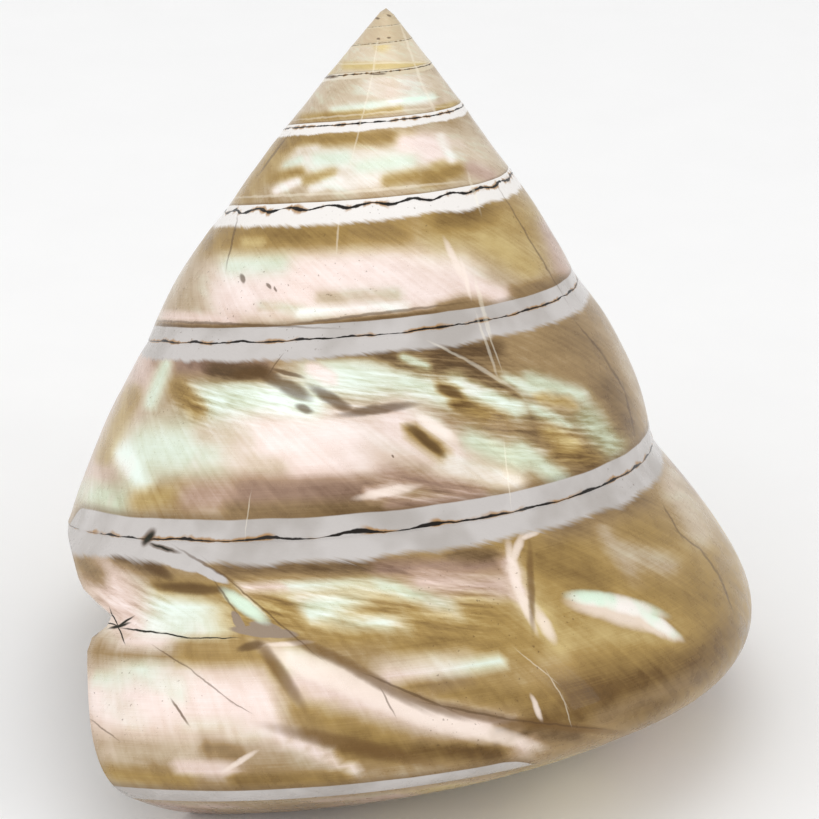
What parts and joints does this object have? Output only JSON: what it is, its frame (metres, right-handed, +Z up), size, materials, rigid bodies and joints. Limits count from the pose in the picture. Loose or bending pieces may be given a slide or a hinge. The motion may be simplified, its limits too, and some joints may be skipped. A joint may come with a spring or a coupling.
{
  "type": "top shell",
  "caption": "Hollow conical spiral shell: flat whorls wound to a point over a rounded base, with a slanting open mouth.",
  "frame": {"origin": "on the ground, under the centre of the bounding box", "axes": "+Z up from the ground the shell rests on, tip up; -Y faces the side with the lip's free edge at its left"},
  "size_m": [0.0876, 0.0946, 0.0827],
  "materials": {
    "nacre": "polished nacre, pearly gloss"
  },
  "bodies": {
    "root": {"shell": "nacre"}
  },
  "joints": []
}
